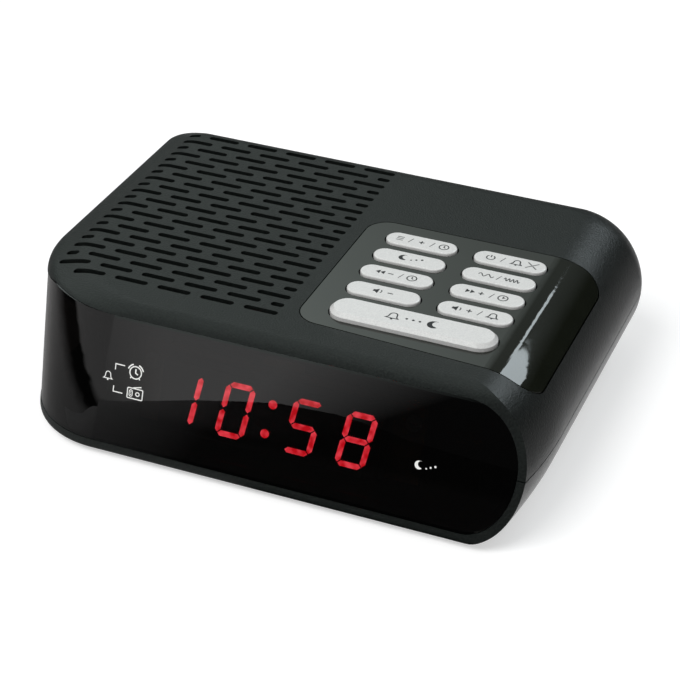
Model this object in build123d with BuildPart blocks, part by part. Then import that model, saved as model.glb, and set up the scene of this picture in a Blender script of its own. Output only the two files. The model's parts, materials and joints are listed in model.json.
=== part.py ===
"""Clock radio: a two-part moulded case with a smoked display lens, a glossy key panel,
nine sprung keys, a four-digit LED clock, a loudspeaker under a slotted grille, a mains
transformer, three circuit boards and a sliding battery door.

Frame: +X to the right as the user sees it, +Y to the back, +Z up.  The origin is under
the middle of the case, on the surface that it stands on.  All sizes are millimetres.
"""

import os
from math import cos, radians, sin, sqrt, tan

from build123d import *

os.makedirs("parts", exist_ok=True)

# ---------------------------------------------------------------- driving dimensions
case_width = 150.4
case_depth = 118.2
case_height = 39.4
foot_height = 1.6
wall = 2.4
front_lean = 17.0                    # degrees that the front leans back

# roundings of the case
right_run_top = 19.4                 # width of the rounded right end above its middle
right_run_bottom = 17.0              # and below it
back_roll = 8.4
back_roll_bottom = 3.0
front_roll = 3.1
lower_edge_roll = 1.2
shoulder_run = 13.0                  # gentle fall of the top towards the left wall
shoulder_radius = 15.0
shoulder_slope = 16.0                # degrees
left_edge_radius = 2.75
left_draft = 5.0                     # the left wall leans in by this much
front_left_radius = 34.0
front_left_radius_fall = 8.5         # the corner is this much tighter at the bottom
back_left_radius = 9.5
back_right_radius = 12.5
right_ease = 2.2                     # the right end narrows by this much at the front
right_ease_length = 24.0
section_step = 5.0                   # degrees of the round end between two outlines

seam_height = 20.7                   # parting line above the standing surface
seam_gap = 0.3

# display lens
lens_thickness = 1.4
lens_recess = 0.15                   # the lens lies this far under the case's face
lens_gap = 0.1
lens_top_margin = 3.2
lens_bottom_margin = 2.6
lens_side_margin = 2.3
lens_wrap_end = -14.0                # where the lens ends on the left side
lens_ledge = 2.0                     # width of the rebate that the lens is bonded to

# grille
slot_pitch = 12.5
slot_row_pitch = 4.285
slot_length = 9.56
short_slot_length = 3.75
slot_width = 1.9
slot_rows = 21
slots_per_row = 5
grille_side_margin = 7.5              # from the left wall to the first slot
grille_front = -35.3
long_slot_lag = 6.7                  # of the even rows' long slots behind their short one
short_slot_lag = 62.5                # of the odd rows' short slot behind their first one

# key panel
panel_left = 2.9
panel_back = 23.0
panel_front_left = -35.4
panel_front_right = -38.9
panel_right = 70.0                   # on the roll of the right end
panel_corner = 6.5
panel_thickness = 1.2
panel_gap = 0.3

# keys
key_length = 20.4
key_width = 6.5
key_column_pitch = 25.5
key_row_pitch = 9.75
key_centre_x = 32.85
key_front_y = -14.95
key_proud = 0.7
key_round = 0.45
key_gap = 0.45
key_flange = 0.6                     # beyond the hole, under the case wall
key_flange_thickness = 1.0
key_rest_gap = 0.1
key_travel = 0.7
key_stem = 3.5                       # from the flange down to the switch
snooze_length = 45.5
snooze_width = 9.8
snooze_y = -26.95
snooze_proud = 1.8
snooze_bevel = 1.0
stem_radius = 2.0
left_keys = ["volume_down", "tune_down", "sleep", "preset"]      # from front to back
right_keys = ["volume_up", "tune_up", "band", "power"]

# tact switches
switch_size = 6.0
switch_corner = 0.5
switch_height = 3.5
plunger_radius = 1.75
plunger_height = 1.5                 # above the switch body
plunger_depth = 1.2                  # inside the switch body
plunger_gap = 0.1

# boards and their screws
board_thickness = 1.6
key_board_left = 2.5
key_board_right = 64.5
key_board_front = -31.5
key_board_back = 20.3
key_post_inset = 3.5
main_board_left = -13.0
main_board_right = 62.0
main_board_front = -31.5
main_board_back = 18.0
main_board_lift = 8.0                # above the inner floor
main_post_inset = 4.0
post_radius = 2.6
screw_radius = 1.2
screw_bite = 6.0
screw_head_radius = 2.2
screw_head_height = 1.3
screw_slot_width = 0.6
screw_slot_depth = 0.5
screw_gap = 0.05

# display
digit_height = 15.2
digit_width = 8.3
digit_pitch = 14.75
colon_extra = 4.3                    # added pitch at the colon
digit_slant = 8.6                    # degrees
segment_width = 1.5
segment_gap = 0.22
segment_thickness = 0.1
colon_dot_radius = 1.2
colon_spread = 8.2
shown_digits = "1058"
digit_segments = {"0": "abcdef", "1": "bc", "5": "acdfg", "8": "abcdefg"}
display_centre_x = 2.8
display_centre_down = 22.3           # along the sloping front from its upper edge
module_setback = 4.1                 # of the module's face behind the lens's face
module_length = 62.0
module_height = 19.0
module_depth = 7.0
display_board_length = 80.0
display_board_height = 22.0
display_board_rise = 0.6             # of the board's middle over the digits' middle
pillar_width = 6.0
pillar_depth = 3.0

# loudspeaker
speaker_side_gap = 2.4               # from the shoulder to the gasket
speaker_y = 7.5
speaker_radius = 27.5
speaker_flange = 1.2
gasket_thickness = 1.0
gasket_width = 3.5
basket_depth = 9.0
basket_side = 4.0                    # height of the basket's upright side
basket_neck_radius = 12.5
basket_sheet = 0.8
magnet_radius = 16.0
magnet_height = 7.0
cone_sheet = 0.8
cone_gap = 0.4
surround_radius = 2.0                # of the half round at the cone's edge
dust_cap_radius = 7.0
dust_cap_rise = 2.4
speaker_post_gap = 0.3
speaker_post_radius = 2.4
speaker_post_count = 3
speaker_washer_radius = 3.8
speaker_washer_thickness = 1.0
speaker_screw_bite = 2.6

# mains transformer
core_length = 32.0
core_depth = 16.0
core_height = 26.0
core_limb = 4.0
winding_overhang = 5.0
winding_gap = 0.2
transformer_x = 37.0
transformer_y = 39.8
transformer_lift = 3.0
bracket_sheet = 1.0
bracket_depth = 8.0
bracket_ear = 6.0

# medium-wave aerial
rod_radius = 4.0
rod_length = 54.0
rod_y = 44.5
rod_lift = 8.0                       # axis above the battery bay's roof
coil_radius = 5.0
coil_length = 18.0
coil_gap = 0.1
holder_width = 5.0
holder_wall = 1.6
holder_inset = 7.0

# battery bay for two small cells, and its door
bay_length = 48.5
bay_width = 23.5
bay_depth = 12.0
bay_wall = 1.5
bay_x = -22.0
bay_back = 53.0
door_thickness = 1.8
door_margin = 3.0                    # the door laps the bay by this much
door_gap = 0.2
door_bed = 1.6                       # case floor over the door
tongue_depth = 1.0
tongue_height = 0.7
grip_count = 4
grip_pitch = 1.8
grip_width = 0.8
grip_depth = 0.4
grip_length = 16.0
contact_width = 8.5
contact_height = 8.0
contact_thickness = 0.5
cell_pitch = 11.5
spring_radius = 3.2
spring_wire = 0.4
spring_turns = 3
spring_length = 3.6

# case screws, feet, lead bushes and vents
case_screw_radius = 1.4
case_screw_head_radius = 2.8
case_screw_head_height = 2.0
case_screw_gap = 0.3                 # round the head
case_boss_radius = 4.2
case_boss_floor = 3.0                # boss over the screw head
case_screw_bite = 10.0
case_screw_places = [(-49.0, -33.0), (-63.0, 49.0), (61.0, -37.2), (60.5, 48.0)]
foot_radius = 4.5
foot_recess = 0.6
foot_gap = 0.15
foot_side_insets = (23.2, 15.2, 23.7, 23.7)      # from the side walls: left pair, right pair
foot_end_insets = (14.1, 20.6, 9.1, 19.6)        # from the front and back walls
cord_bush_x = 12.0
cord_bush_bore = 3.2
aerial_bush_inset = 20.2             # from the right wall
aerial_bush_bore = 1.0
bush_height = 12.0
bush_wall = 1.3
bush_flange = 1.8
bush_flange_thickness = 1.2
bush_gap = 0.1
bush_tail = 2.0                      # inside the wall
vent_count = 8
vent_pitch = 4.0
vent_width = 1.6
vent_length = 18.0
vent_x = 36.0
vent_y = 8.0

# parts on the main board
chip_size = (24.0, 7.0)
chip_height = 3.6
chip_places = [(12.0, -16.0), (38.0, 6.0)]
capacitor_radius = 4.0
capacitor_round = 0.7
capacitor_height = 11.0
capacitor_places = [(8.0, 6.0), (18.0, 8.0), (38.0, -12.0), (48.0, -16.0)]
crystal_size = (11.0, 4.6)
crystal_height = 3.5
crystal_place = (32.0, -24.0)

# ---------------------------------------------------------------- derived places
lean = radians(front_lean)
top_height = foot_height + case_height
middle_height = foot_height + case_height / 2
inner_floor = foot_height + wall
inner_ceiling = top_height - wall
upper_seam = seam_height + seam_gap / 2
lower_seam = seam_height - seam_gap / 2

grille_left = -case_width / 2 + grille_side_margin
speaker_x = -case_width / 2 + shoulder_run + speaker_side_gap + speaker_radius
aerial_bush_x = case_width / 2 - aerial_bush_inset
foot_corners = ((-1, -1), (-1, 1), (1, -1), (1, 1))
foot_places = [
    (side * (case_width / 2 - side_inset), end * (case_depth / 2 - end_inset))
    for (side, end), side_inset, end_inset in zip(foot_corners, foot_side_insets, foot_end_insets)
]

slope = radians(shoulder_slope)
shoulder_arc_run = shoulder_radius * sin(slope)
shoulder_arc_drop = shoulder_radius * (1 - cos(slope))
shoulder_drop = shoulder_arc_drop + (shoulder_run - shoulder_arc_run) * tan(slope)
wall_top_drop = shoulder_drop + left_edge_radius * (1 - sin(slope)) / cos(slope)
slope_end_drop = wall_top_drop - left_edge_radius * cos(slope)

lens_low = foot_height + lens_bottom_margin
lens_high = top_height - lens_top_margin
lens_back = lens_recess + lens_thickness

flange_top = inner_ceiling - key_rest_gap
flange_low = flange_top - key_flange_thickness
plunger_top = flange_low - key_stem
switch_top = plunger_top - plunger_height
key_board_top = switch_top - switch_height
main_board_low = inner_floor + main_board_lift
main_board_top = main_board_low + board_thickness

key_places = {
    name: (key_centre_x + side * key_column_pitch / 2, key_front_y + row * key_row_pitch)
    for side, names in ((-1, left_keys), (1, right_keys))
    for row, name in enumerate(names)
}
key_places["snooze"] = (key_centre_x, snooze_y)

speaker_top = inner_ceiling - gasket_thickness
speaker_low = speaker_top - speaker_flange
basket_low = speaker_low - basket_depth
speaker_post_circle = speaker_radius + speaker_post_gap + speaker_post_radius

bay_low = foot_height + door_thickness + door_gap
bay_high = bay_low + bay_depth
bay_roof = bay_high + bay_wall
bay_y = bay_back - bay_width / 2
door_half_length = bay_length / 2 + door_margin
door_front = bay_back - bay_width - door_margin
rod_height = bay_roof + rod_lift


def quarter_run(depth, run, drop):
    """How far a quarter-round edge stays behind its wall at a depth under the face."""
    share = max(0.0, min(depth, drop)) / drop
    return run - run * sqrt(1 - (1 - share) ** 2)


def shoulder_setback(depth):
    """The same for the left shoulder: an arc, a slope, and a small round to the wall."""
    if depth < shoulder_arc_drop:
        return shoulder_run - sqrt(shoulder_radius**2 - (shoulder_radius - depth) ** 2)
    if depth < slope_end_drop:
        return shoulder_run - shoulder_arc_run - (depth - shoulder_arc_drop) / tan(slope)
    if depth < wall_top_drop:
        return left_edge_radius - sqrt(left_edge_radius**2 - (wall_top_drop - depth) ** 2)
    return 0.0


def front_y(height):
    """The sloping front's place at a height."""
    return -case_depth / 2 + (height - foot_height - lower_edge_roll) * tan(lean)


def left_x(height):
    """The left wall's place at a height."""
    return -case_width / 2 + left_draft * (top_height - wall_top_drop - height) / case_height


def front_left_corner(height):
    """The front left corner's radius at a height."""
    return front_left_radius - front_left_radius_fall * (top_height - height) / case_height


def case_outline(height, inset):
    """Draw the case's outline at one height, offset inwards by inset."""
    depth = top_height - inset - height
    rise = height - foot_height - inset
    if depth <= rise:
        left = shoulder_setback(depth)
        back = quarter_run(depth, back_roll - inset, back_roll - inset)
        front = quarter_run(depth, front_roll - inset, front_roll - inset)
        right_run = right_run_top - inset
    else:
        left = quarter_run(rise, lower_edge_roll, lower_edge_roll)
        back = quarter_run(rise, back_roll_bottom, back_roll_bottom)
        front = left
        right_run = right_run_bottom - inset
    right = quarter_run(min(depth, rise), right_run, case_height / 2 - inset)
    ease = right_ease * (1 - right / right_run) + 0.01
    x_left = left_x(height) + inset + left
    x_right = case_width / 2 - inset - right
    y_back = case_depth / 2 - inset - back
    y_front = front_y(height) + inset / cos(lean) + front
    y_ease = y_front + right_ease_length
    front_radius = front_left_corner(height) - inset - front
    left_radius = max(back_left_radius - inset - back, 1.0)
    right_radius = max(back_right_radius - inset - back, 1.0)
    Line((x_left + front_radius, y_front), (x_right - ease, y_front))
    TangentArc((x_right, y_ease), (x_right - ease, y_front), tangent=(0, -1))
    Line((x_right, y_ease), (x_right, y_back - right_radius))
    CenterArc((x_right - right_radius, y_back - right_radius), right_radius, 0, 90)
    Line((x_right - right_radius, y_back), (x_left + left_radius, y_back))
    CenterArc((x_left + left_radius, y_back - left_radius), left_radius, 90, 90)
    Line((x_left, y_back - left_radius), (x_left, y_front + front_radius))
    CenterArc((x_left + front_radius, y_front + front_radius), front_radius, 180, 90)


def outline_heights(inset):
    """Heights of the outlines, closer together where the round end turns over."""
    half = case_height / 2 - inset
    count = round(90 / section_step)
    drops = [half * (1 - cos(radians(90 * i / count))) for i in range(count + 1)]
    lower = [foot_height + inset + drop for drop in drops]
    upper = [top_height - inset - drop for drop in drops[:-1]]
    return sorted(lower + upper)


def case_form(inset):
    """The solid inside the case's skin, offset inwards by inset."""
    with BuildPart() as form:
        for height in outline_heights(inset):
            with BuildSketch(Plane.XY.offset(height)):
                with BuildLine():
                    case_outline(height, inset)
                make_face()
        loft()
    return form.part


def front_band(near, far, grow):
    """A band that follows the front and its left corner between two insets.

    Its right end is rounded like the case's, and its upper edge falls with the left shoulder.
    It grows on all its edges by grow.
    """
    low = lens_low - grow
    high = lens_high + grow
    wrap_end = lens_wrap_end + grow
    right_end = case_width / 2 - right_ease - lens_side_margin + grow
    top_centre = case_width / 2 - right_run_top
    low_centre = case_width / 2 - right_run_bottom
    fall_start = -case_width / 2 + shoulder_run
    slope_start = (fall_start - shoulder_arc_run, high - shoulder_arc_drop)
    slope_end = (-case_width, slope_start[1] - (case_width + slope_start[0]) * tan(slope))
    with BuildPart() as band:
        for height in (low, high):
            x_near = left_x(height) + near
            x_far = left_x(height) + far
            y_near = front_y(height) + near / cos(lean)
            y_far = front_y(height) + far / cos(lean)
            r_near = front_left_corner(height) - near
            r_far = front_left_corner(height) - far
            with BuildSketch(Plane.XY.offset(height)):
                with BuildLine():
                    Line((case_width, y_near), (x_near + r_near, y_near))
                    CenterArc((x_near + r_near, y_near + r_near), r_near, 270, -90)
                    Line((x_near, y_near + r_near), (x_near, wrap_end))
                    Line((x_near, wrap_end), (x_far, wrap_end))
                    Line((x_far, wrap_end), (x_far, y_far + r_far))
                    CenterArc((x_far + r_far, y_far + r_far), r_far, 180, 90)
                    Line((x_far + r_far, y_far), (case_width, y_far))
                    Line((case_width, y_far), (case_width, y_near))
                make_face()
        loft(ruled=True)
        with BuildSketch(Plane.XZ):
            with BuildLine():
                Line((-case_width, low), (low_centre, low))
                EllipticalCenterArc(
                    (low_centre, middle_height),
                    right_end - low_centre,
                    middle_height - low,
                    start_angle=-90,
                    arc_size=90,
                )
                EllipticalCenterArc(
                    (top_centre, middle_height),
                    right_end - top_centre,
                    high - middle_height,
                    start_angle=0,
                    arc_size=90,
                )
                Line((top_centre, high), (fall_start, high))
                CenterArc((fall_start, high - shoulder_radius), shoulder_radius, 90, shoulder_slope)
                Line(slope_start, slope_end)
                Line(slope_end, (-case_width, low))
            make_face()
        extrude(amount=case_depth, both=True, mode=Mode.INTERSECT)
    return band.part


def panel_area(grow):
    """The block over the key panel's outline, grown by grow on all its edges."""
    with BuildPart() as area:
        with BuildSketch(Plane.XY.offset(seam_height)) as plan:
            with BuildLine():
                Polyline(
                    (panel_left - grow, panel_front_left - grow),
                    (panel_right + grow, panel_front_right - grow),
                    (panel_right + grow, panel_back + grow),
                    (panel_left - grow, panel_back + grow),
                    close=True,
                )
            make_face()
            fillet(plan.vertices(), panel_corner + grow)
        extrude(amount=case_height)
    return area.part


def key_size(name):
    """Length and width of a key."""
    if name == "snooze":
        return snooze_length, snooze_width
    return key_length, key_width


def key_holes(clearance):
    """Draw the keys' outlines, each grown by the clearance."""
    for name, place in key_places.items():
        length, width = key_size(name)
        with Locations(place):
            SlotOverall(length + 2 * clearance, width + 2 * clearance)


def corners(left, right, front, back, inset):
    """Four places near the corners of a board."""
    return [(x, y) for x in (left + inset, right - inset) for y in (front + inset, back - inset)]


def on_front(x, down, setback):
    """A plane parallel to the sloping front: x, way down the slope, and depth behind it."""
    upper_edge = (0, front_y(top_height), top_height)
    face = Plane(origin=upper_edge, x_dir=(1, 0, 0), z_dir=(0, -cos(lean), sin(lean)))
    origin = face.from_local_coords((x, -down, -setback))
    return Plane(origin=origin, x_dir=face.x_dir, z_dir=face.z_dir)


key_board_posts = corners(
    key_board_left, key_board_right, key_board_front, key_board_back, key_post_inset
)
main_board_posts = corners(
    main_board_left, main_board_right, main_board_front, main_board_back, main_post_inset
)
speaker_posts = PolarLocations(speaker_post_circle, speaker_post_count).local_locations
speaker_post_places = [
    (speaker_x + place.position.X, speaker_y + place.position.Y) for place in speaker_posts
]
pillar_reach = display_board_length / 2 - pillar_width / 2
board_setback = module_setback + module_depth
pillar_setback = board_setback + board_thickness
display_board_down = display_centre_down - display_board_rise
display_screw_rise = display_board_height / 4
display_screw_down = display_board_down - display_screw_rise
transformer_ear = core_length / 2 + bracket_sheet + bracket_ear / 2
transformer_screw_places = [
    (transformer_x + side * transformer_ear, transformer_y) for side in (-1, 1)
]
bushes = [(cord_bush_x, cord_bush_bore), (aerial_bush_x, aerial_bush_bore)]

# ---------------------------------------------------------------- forms of the case
outer_form = case_form(0)
bed_form = case_form(panel_thickness)
inner_form = case_form(wall)
lens_pocket = front_band(-wall, lens_back + lens_gap / 2, lens_gap)
lens_window = front_band(0, 2 * wall, -lens_ledge)
panel_block = panel_area(0)
panel_recess = panel_area(panel_gap)

with BuildPart() as upper_posts:
    with BuildSketch(Plane.XY.offset(upper_seam)):
        with Locations(case_screw_places):
            Circle(case_boss_radius)
    extrude(amount=case_height)
    with BuildSketch(Plane.XY.offset(key_board_top)):
        with Locations(key_board_posts):
            Circle(post_radius)
    extrude(amount=case_height)
    with BuildSketch(Plane.XY.offset(speaker_low)):
        with Locations(speaker_post_places):
            Circle(speaker_post_radius)
    extrude(amount=case_height)
    add(bed_form, mode=Mode.INTERSECT)

with BuildPart() as lower_posts:
    with BuildSketch():
        with Locations(case_screw_places):
            Circle(case_boss_radius)
    extrude(amount=lower_seam)
    with BuildSketch():
        with Locations(main_board_posts):
            Circle(post_radius)
    extrude(amount=main_board_low)
    with BuildSketch():
        with Locations(transformer_screw_places):
            Circle(post_radius)
    extrude(amount=inner_floor + transformer_lift)
    with BuildSketch():
        with Locations((bay_x, bay_y)):
            Rectangle(bay_length + 2 * bay_wall, bay_width + 2 * bay_wall)
    extrude(amount=bay_roof)
    add(bed_form, mode=Mode.INTERSECT)


# ---------------------------------------------------------------- upper case
with BuildPart() as upper_case:
    add(outer_form)
    add(inner_form, mode=Mode.SUBTRACT)
    split(bisect_by=Plane.XY.offset(upper_seam), keep=Keep.TOP)
    add(upper_posts.part)
    add(lens_pocket, mode=Mode.SUBTRACT)
    add(lens_window, mode=Mode.SUBTRACT)
    add(panel_recess - bed_form, mode=Mode.SUBTRACT)
    # holes of the keys
    with BuildSketch(Plane.XY.offset(flange_low)):
        key_holes(key_gap)
    extrude(amount=case_height, mode=Mode.SUBTRACT)
    # grille
    with BuildSketch(Plane.XY.offset(inner_ceiling - wall)):
        for row in range(slot_rows):
            y = grille_front + row * slot_row_pitch
            long_lag = 0 if row % 2 else long_slot_lag
            for column in range(slots_per_row):
                x = grille_left + long_lag + column * slot_pitch + slot_length / 2
                with Locations((x, y)):
                    SlotOverall(slot_length, slot_width)
            if row > 0:
                short_lag = short_slot_lag if row % 2 else 0
                with Locations((grille_left + short_lag + short_slot_length / 2, y)):
                    SlotOverall(short_slot_length, slot_width)
    extrude(amount=case_height, mode=Mode.SUBTRACT)
    # pilot holes of the screws
    with BuildSketch(Plane.XY.offset(upper_seam)):
        with Locations(case_screw_places):
            Circle(case_screw_radius + screw_gap)
    extrude(amount=case_screw_bite, mode=Mode.SUBTRACT)
    with BuildSketch(Plane.XY.offset(key_board_top)):
        with Locations(key_board_posts):
            Circle(screw_radius + screw_gap)
    extrude(amount=screw_bite, mode=Mode.SUBTRACT)
    with BuildSketch(Plane.XY.offset(speaker_low)):
        with Locations(speaker_post_places):
            Circle(screw_radius + screw_gap)
    extrude(amount=speaker_screw_bite + screw_gap, mode=Mode.SUBTRACT)
upper_case.part.label = "upper_case"
export_step(upper_case.part, "parts/upper_case.step")

# ---------------------------------------------------------------- lower case
with BuildPart() as pillars:
    for side in (-1, 1):
        x = display_centre_x + side * pillar_reach
        with BuildSketch(on_front(x, display_board_down, pillar_setback)):
            with Locations((0, -case_height / 2)):
                Rectangle(pillar_width, display_board_height + case_height)
        extrude(amount=-pillar_depth)
    add(bed_form, mode=Mode.INTERSECT)

with BuildPart() as lower_case:
    add(outer_form)
    add(inner_form, mode=Mode.SUBTRACT)
    split(bisect_by=Plane.XY.offset(lower_seam), keep=Keep.BOTTOM)
    # holes of the lead bushes, with a recess for their flanges
    for x, bore in bushes:
        with BuildSketch(Plane.XZ.offset(-case_depth / 2 - wall)):
            with Locations((x, bush_height)):
                Circle(bore + bush_wall + bush_flange + bush_gap)
        extrude(amount=wall + bush_flange_thickness, mode=Mode.SUBTRACT)
        with BuildSketch(Plane.XZ.offset(-case_depth / 2)):
            with Locations((x, bush_height)):
                Circle(bore + bush_wall + bush_gap)
        extrude(amount=2 * wall, mode=Mode.SUBTRACT)
    add(lower_posts.part)
    add(pillars.part)
    # floor pad over the battery door
    with BuildSketch(Plane.XY.offset(bay_low)):
        with Locations((bay_x, (door_front + bay_back) / 2)):
            Rectangle(2 * door_half_length + 2 * bay_wall, bay_back - door_front + 2 * bay_wall)
    extrude(amount=door_bed)
    add(lens_pocket, mode=Mode.SUBTRACT)
    add(lens_window, mode=Mode.SUBTRACT)
    # the door's recess, its grooves and the bay
    recess_middle = (door_front - door_gap + case_depth) / 2
    recess_width = case_depth - (door_front - door_gap)
    with BuildSketch():
        with Locations((bay_x, recess_middle)):
            Rectangle(2 * (door_half_length + door_gap), recess_width)
    extrude(amount=bay_low, mode=Mode.SUBTRACT)
    with BuildSketch(Plane.XY.offset(bay_low)):
        with Locations((bay_x, recess_middle)):
            Rectangle(2 * (door_half_length + tongue_depth + door_gap), recess_width)
    extrude(amount=-tongue_height - 2 * door_gap, mode=Mode.SUBTRACT)
    with BuildSketch():
        with Locations((bay_x, bay_y)):
            Rectangle(bay_length, bay_width)
    extrude(amount=bay_high, mode=Mode.SUBTRACT)
    # case screws: clearance holes, and deep recesses for their heads
    with BuildSketch():
        with Locations(case_screw_places):
            Circle(case_screw_radius + screw_gap)
    extrude(amount=case_height, mode=Mode.SUBTRACT)
    with BuildSketch():
        with Locations(case_screw_places):
            Circle(case_screw_head_radius + case_screw_gap)
    extrude(amount=lower_seam - case_boss_floor, mode=Mode.SUBTRACT)
    # pilot holes of the board and transformer screws
    with BuildSketch(Plane.XY.offset(main_board_low)):
        with Locations(main_board_posts):
            Circle(screw_radius + screw_gap)
    extrude(amount=-screw_bite, mode=Mode.SUBTRACT)
    with BuildSketch(Plane.XY.offset(inner_floor + transformer_lift)):
        with Locations(transformer_screw_places):
            Circle(screw_radius + screw_gap)
    extrude(amount=-transformer_lift, mode=Mode.SUBTRACT)
    for side in (-1, 1):
        x = display_centre_x + side * pillar_reach
        with BuildSketch(on_front(x, display_screw_down, pillar_setback)):
            Circle(screw_radius + screw_gap)
        extrude(amount=-pillar_depth, mode=Mode.SUBTRACT)
    # recesses of the feet
    with BuildSketch():
        with Locations(foot_places):
            Circle(foot_radius + foot_gap)
    extrude(amount=foot_height + foot_recess, mode=Mode.SUBTRACT)
    # vents
    with BuildSketch():
        with Locations((vent_x, vent_y)):
            with GridLocations(vent_pitch, 0, vent_count, 1):
                SlotOverall(vent_length, vent_width, rotation=90)
    extrude(amount=inner_floor, mode=Mode.SUBTRACT)
lower_case.part.label = "lower_case"
export_step(lower_case.part, "parts/lower_case.step")

# ---------------------------------------------------------------- lens and key panel
display_lens_solid = front_band(lens_recess, lens_back, 0)
with BuildPart() as display_lens:
    add(display_lens_solid)
display_lens.part.label = "display_lens"
export_step(display_lens.part, "parts/display_lens.step")

with BuildPart() as key_panel:
    add(panel_block)
    add(outer_form, mode=Mode.INTERSECT)
    add(bed_form, mode=Mode.SUBTRACT)
    with BuildSketch(Plane.XY.offset(flange_low)):
        key_holes(key_gap)
    extrude(amount=case_height, mode=Mode.SUBTRACT)
key_panel.part.label = "key_panel"
export_step(key_panel.part, "parts/key_panel.step")

# ---------------------------------------------------------------- keys and their switches
for name, place in key_places.items():
    length, width = key_size(name)
    proud = snooze_proud if name == "snooze" else key_proud
    flange_reach = 2 * (key_gap + key_flange)
    with BuildPart() as key:
        with BuildSketch(Plane.XY.offset(flange_low)):
            with Locations(place):
                SlotOverall(length, width)
        extrude(amount=top_height + proud - flange_low)
        top_edges = key.edges().group_by(Axis.Z)[-1]
        if name == "snooze":
            chamfer(top_edges, snooze_bevel)
        else:
            fillet(top_edges, key_round)
        with BuildSketch(Plane.XY.offset(flange_low)):
            with Locations(place):
                SlotOverall(length + flange_reach, width + flange_reach)
        extrude(amount=key_flange_thickness)
        with BuildSketch(Plane.XY.offset(plunger_top)):
            with Locations(place):
                Circle(stem_radius)
        extrude(amount=flange_low - plunger_top)
    key.part.label = f"key_{name}"
    export_step(key.part, f"parts/key_{name}.step")

    with BuildPart() as plunger:
        with BuildSketch(Plane.XY.offset(switch_top - plunger_depth)):
            with Locations(place):
                Circle(plunger_radius)
        extrude(amount=plunger_depth + plunger_height)
    plunger.part.label = f"plunger_{name}"
    export_step(plunger.part, f"parts/plunger_{name}.step")

    with BuildPart() as switch:
        with BuildSketch(Plane.XY.offset(key_board_top)):
            with Locations(place):
                Rectangle(switch_size, switch_size)
        extrude(amount=switch_height)
        fillet(switch.edges().filter_by(Axis.Z), switch_corner)
        with BuildSketch(Plane.XY.offset(switch_top)):
            with Locations(place):
                Circle(plunger_radius + plunger_gap)
        extrude(amount=-plunger_depth - key_travel - key_gap, mode=Mode.SUBTRACT)
    switch.part.label = f"switch_{name}"
    export_step(switch.part, f"parts/switch_{name}.step")

# ---------------------------------------------------------------- boards
with BuildPart() as key_board:
    with BuildSketch(Plane.XY.offset(key_board_top)):
        with Locations(
            ((key_board_left + key_board_right) / 2, (key_board_front + key_board_back) / 2)
        ):
            Rectangle(key_board_right - key_board_left, key_board_back - key_board_front)
        with Locations(key_board_posts):
            Circle(screw_radius + screw_gap, mode=Mode.SUBTRACT)
    extrude(amount=-board_thickness)
key_board.part.label = "key_board"
export_step(key_board.part, "parts/key_board.step")

with BuildPart() as main_board:
    with BuildSketch(Plane.XY.offset(main_board_low)):
        with Locations(
            ((main_board_left + main_board_right) / 2, (main_board_front + main_board_back) / 2)
        ):
            Rectangle(main_board_right - main_board_left, main_board_back - main_board_front)
        with Locations(main_board_posts):
            Circle(screw_radius + screw_gap, mode=Mode.SUBTRACT)
    extrude(amount=board_thickness)
main_board.part.label = "main_board"
export_step(main_board.part, "parts/main_board.step")

with BuildPart() as display_board:
    with BuildSketch(on_front(display_centre_x, display_board_down, board_setback)):
        Rectangle(display_board_length, display_board_height)
        with Locations((-pillar_reach, display_screw_rise), (pillar_reach, display_screw_rise)):
            Circle(screw_radius + screw_gap, mode=Mode.SUBTRACT)
    extrude(amount=-board_thickness)
display_board.part.label = "display_board"
export_step(display_board.part, "parts/display_board.step")

# ---------------------------------------------------------------- LED display
with BuildPart() as display_module:
    with BuildSketch(on_front(display_centre_x, display_centre_down, module_setback)):
        Rectangle(module_length, module_height)
    extrude(amount=-module_depth)
display_module.part.label = "display_module"
export_step(display_module.part, "parts/display_module.step")


def segment_corners(name, digit_x):
    """The six corners of one segment of a digit, slanted to the right."""
    half_width = (digit_width - segment_width) / 2
    half_height = (digit_height - segment_width) / 2
    ends = {
        "a": ((-half_width, half_height), (half_width, half_height)),
        "b": ((half_width, half_height), (half_width, 0)),
        "c": ((half_width, 0), (half_width, -half_height)),
        "d": ((-half_width, -half_height), (half_width, -half_height)),
        "e": ((-half_width, -half_height), (-half_width, 0)),
        "f": ((-half_width, 0), (-half_width, half_height)),
        "g": ((-half_width, 0), (half_width, 0)),
    }
    start, end = (Vector(*point) for point in ends[name])
    along = (end - start).normalized()
    across = Vector(-along.Y, along.X) * (segment_width / 2)
    start += along * segment_gap
    end -= along * segment_gap
    shoulder = along * (segment_width / 2)
    outline = [
        start,
        start + shoulder + across,
        end - shoulder + across,
        end,
        end - shoulder - across,
        start + shoulder - across,
    ]
    tilt = tan(radians(digit_slant))
    return [(digit_x + point.X + point.Y * tilt, point.Y) for point in outline]


def draw_segments(lit):
    """Draw the lit or the dark segments of all the digits."""
    for index, digit in enumerate(shown_digits):
        place = index - (len(shown_digits) - 1) / 2
        digit_x = place * digit_pitch + (colon_extra / 2 if place > 0 else -colon_extra / 2)
        for name in "abcdefg":
            if (name in digit_segments[digit]) == lit:
                Polygon(*segment_corners(name, digit_x), align=None)


module_face = on_front(display_centre_x, display_centre_down, module_setback)
with BuildPart() as led_segments_lit:
    with BuildSketch(module_face):
        draw_segments(True)
        for side in (-1, 1):
            y = side * colon_spread / 2
            with Locations((y * tan(radians(digit_slant)), y)):
                Circle(colon_dot_radius)
    extrude(amount=segment_thickness)
led_segments_lit.part.label = "led_segments_lit"
export_step(led_segments_lit.part, "parts/led_segments_lit.step")

with BuildPart() as led_segments_dark:
    with BuildSketch(module_face):
        draw_segments(False)
    extrude(amount=segment_thickness)
led_segments_dark.part.label = "led_segments_dark"
export_step(led_segments_dark.part, "parts/led_segments_dark.step")

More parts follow.
